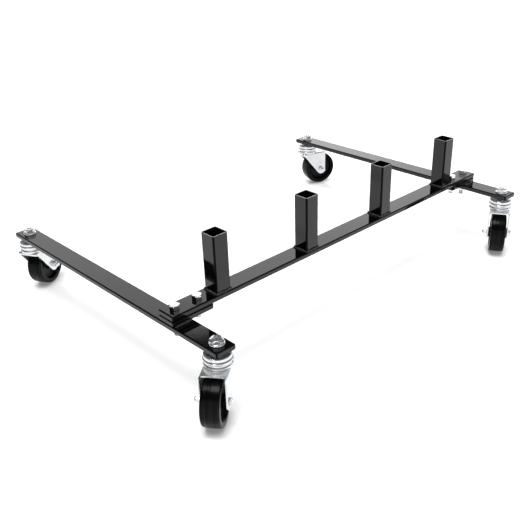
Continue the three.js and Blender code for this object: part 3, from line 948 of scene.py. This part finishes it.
def caster(corner):
    stem, wheel = Box(f"stem_{corner}"), Box(f"wheel_{corner}")
    trail = wheel.mid - stem.mid
    heading = math.degrees(math.atan2(trail.y, trail.x))
    still = at(stem.mid.x, stem.mid.y)
    swivel = at(stem.mid.x, stem.mid.y, 0, heading)
    nut = at(stem.mid.x, stem.mid.y, ARM_TOP + GAP, NUT_TURNS[corner])
    axle = swivel @ at(TRAIL, 0, WHEEL_RADIUS)
    lying = axle @ Matrix.Rotation(-math.pi / 2, 4, "X")
    axle_nut = axle @ at(0, -FORK_HALF_WIDTH - GAP) @ Matrix.Rotation(math.pi / 2, 4, "X")
    swivel_body, roller_body = f"swivel_{corner}", f"roller_{corner}"
    rows = (
        ("flange_nut", "frame", "zinc_plate", ZINC, nut),
        ("stem", "frame", "zinc_plate", ZINC, still),
        ("top_cup", "frame", "zinc_plate", ZINC, still),
        ("ball_ring", swivel_body, "bearing_steel", STEEL, swivel),
        ("race_ring", swivel_body, "zinc_plate", ZINC, swivel),
        ("fork", swivel_body, "zinc_plate", ZINC, swivel),
        ("axle_bolt", swivel_body, "zinc_plate", ZINC, lying),
        ("axle_nut", swivel_body, "zinc_plate", ZINC, axle_nut),
        ("hub_bush", swivel_body, "bearing_steel", STEEL, lying),
        ("wheel", roller_body, "wheel_black", TREAD, lying),
    )
    for part, body, slot, material, matrix in rows:
        node = f"{part}_{corner}"
        add(f"{node}_part", MESHES[part], body, material, [node], matrix)


for corner in CORNERS:
    caster(corner)

# ---- Floor, light and camera -----------------------------------------------------------------------


def floor():
    """A wide pale disc, made of rings that grow outwards.

    It glows a little, like a lit sweep, and has a painted contact shadow, a darker colour and a weaker
    glow, where something stands close above it.
    """
    rings = [level(circle(radius), FLOOR_HEIGHT) for radius in FLOOR_RADII]
    vertices, faces = loft(rings)
    sides, middle = faces[:-2], tuple(range(TURN))
    mesh = mesh_from("floor", (vertices, sides + [middle]))
    for polygon in mesh.polygons:
        polygon.use_smooth = False
    settings = {"Emission Color": (1, 1, 1, 1)}
    material, nodes, links, shader, place = new_finish("pale_floor", settings)
    unevenness = noise(nodes, links, place, 3, 3)
    links.new(spread(nodes, links, unevenness, 0.3, 0.4), shader.inputs["Roughness"])
    # Ambient occlusion makes a painted contact shadow: it darkens the floor's colour and its glow where
    # parts stand close above.
    near = nodes.new("ShaderNodeAmbientOcclusion")
    near.samples = 8
    near.inputs["Distance"].default_value = CONTACT_REACH * MM
    painted_shadow_share = spread(nodes, links, near.outputs["AO"], 0.3, 1.0, 0.35, 0.95)
    glow = nodes.new("ShaderNodeMath")
    glow.operation = "MULTIPLY"
    glow.inputs[1].default_value = FLOOR_GLOW
    links.new(painted_shadow_share, glow.inputs[0])
    links.new(glow.outputs[0], shader.inputs["Emission Strength"])
    tint = nodes.new("ShaderNodeMixRGB")
    tint.inputs["Color1"].default_value = FLOOR_PAINTED_SHADOW
    tint.inputs["Color2"].default_value = FLOOR_PALE
    links.new(painted_shadow_share, tint.inputs["Fac"])
    links.new(tint.outputs["Color"], shader.inputs["Base Color"])
    mesh.materials.append(material)
    disc = bpy.data.objects.new("floor", mesh)
    bpy.context.scene.collection.objects.link(disc)


def studio():
    """A dark room with lit walls, a low pale surround and a soft light overhead."""
    world = bpy.data.worlds.new("studio")
    bpy.context.scene.world = world
    world.use_nodes = True
    nodes, links = world.node_tree.nodes, world.node_tree.links
    direction = nodes.new("ShaderNodeTexCoord").outputs["Generated"]
    parts = nodes.new("ShaderNodeSeparateXYZ")
    links.new(direction, parts.inputs[0])

    def math_node(operation, first, second=None):
        node = nodes.new("ShaderNodeMath")
        node.operation = operation
        for socket, value in zip(node.inputs, (first, second)):
            if value is None:
                continue
            if isinstance(value, (int, float)):
                socket.default_value = value
            else:
                links.new(value, socket)
        return node.outputs[0]

    def step(value, start, end, low=0.0, high=1.0):
        node = nodes.new("ShaderNodeMapRange")
        node.interpolation_type = "SMOOTHSTEP"
        node.inputs["From Min"].default_value = start
        node.inputs["From Max"].default_value = end
        node.inputs["To Min"].default_value = low
        node.inputs["To Max"].default_value = high
        links.new(value, node.inputs["Value"])
        return node.outputs["Result"]

    degrees = 180 / math.pi
    rise = math_node("ARCSINE", parts.outputs["Z"])
    elevation = math_node("MULTIPLY", rise, degrees)
    swing = math_node("ARCTAN2", parts.outputs["X"], parts.outputs["Y"])
    bearing = math_node("MULTIPLY", swing, degrees)

    def window(value, low, high, soft):
        opening = step(value, low - soft, low + soft)
        closing = step(value, high - soft, high + soft, 1.0, 0.0)
        return math_node("MULTIPLY", opening, closing)

    total = ROOM_DARK
    for radiance, bearings, heights, soft, edge in STUDIO_LIGHTS:
        patch = window(elevation, *heights, edge)
        if bearings:
            patch = math_node("MULTIPLY", patch, window(bearing, *bearings, soft))
        total = math_node("ADD", math_node("MULTIPLY", patch, radiance), total)
    facing = nodes.new("ShaderNodeVectorMath")
    facing.operation = "DOT_PRODUCT"
    facing.inputs[1].default_value = Vector(SOFTBOX_TOWARD).normalized()
    links.new(direction, facing.inputs[0])
    inner, outer = SOFTBOX_EDGE + SOFTBOX_SOFTNESS, SOFTBOX_EDGE - SOFTBOX_SOFTNESS
    box = step(facing.outputs["Value"], outer, inner)
    total = math_node("ADD", math_node("MULTIPLY", box, SOFTBOX_RADIANCE), total)
    background = nodes["Background"]
    background.inputs["Color"].default_value = (1, 1, 1, 1)
    links.new(total, background.inputs["Strength"])


def camera():
    data = bpy.data.cameras.new("camera")
    data.sensor_width = 36
    data.lens = CAMERA_LENS
    data.clip_end = 100
    cam = bpy.data.objects.new("camera", data)
    right, back = CAMERA_OFFSET
    place = Vector((BEAM.low.x + right, ARMS["left"].low.y + back, CAMERA_HEIGHT))
    turn = Matrix.Rotation(math.radians(CAMERA_HEADING), 4, "Z")
    tilt = Matrix.Rotation(math.radians(90 - CAMERA_DIP), 4, "X")
    roll = Matrix.Rotation(math.radians(CAMERA_ROLL), 4, "Z")
    cam.matrix_world = Matrix.Translation(place * MM) @ turn @ tilt @ roll
    bpy.context.scene.collection.objects.link(cam)
    bpy.context.scene.camera = cam


floor()
studio()
camera()
bpy.context.scene.view_settings.view_transform = "Standard"
